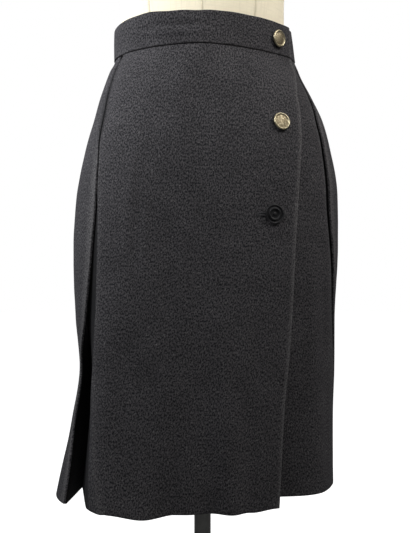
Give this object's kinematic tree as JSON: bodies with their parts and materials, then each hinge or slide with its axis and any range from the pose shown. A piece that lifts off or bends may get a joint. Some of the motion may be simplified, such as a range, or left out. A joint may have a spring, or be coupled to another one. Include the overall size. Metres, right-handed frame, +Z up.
{
  "type": "wrap skirt on a dress form",
  "caption": "Knee-length wrap skirt of charcoal melange wool with side pleats and buttons, on a limbless dress form with a round base.",
  "frame": {"origin": "on the floor, at the middle of the base's underside, under the pole", "axes": "+X to the wearer's left, -Y to the front, +Z up"},
  "size_m": [0.4, 0.4, 1.5153],
  "materials": {
    "wool": "charcoal melange wool twill with pale flecks, matt, slightly fuzzy",
    "aged_brass": "aged brass with a brighter rim",
    "black_base": "black, half matt",
    "linen": "cream linen, fine plain weave, stretched smooth",
    "turned_wood": "stained and waxed",
    "dark_iron": "dark grey enamel, half gloss"
  },
  "bodies": {
    "root": {"front_overlap": "wool", "front_underlap": "wool", "back_panel": "wool", "waistband": "wool", "button_band": "aged_brass", "button_upper": "aged_brass", "button_lower": "black_base", "form_torso": "linen", "form_neck_cap": "turned_wood", "form_flange": "dark_iron", "form_pole": "dark_iron", "form_base": "dark_iron"}
  },
  "joints": []
}
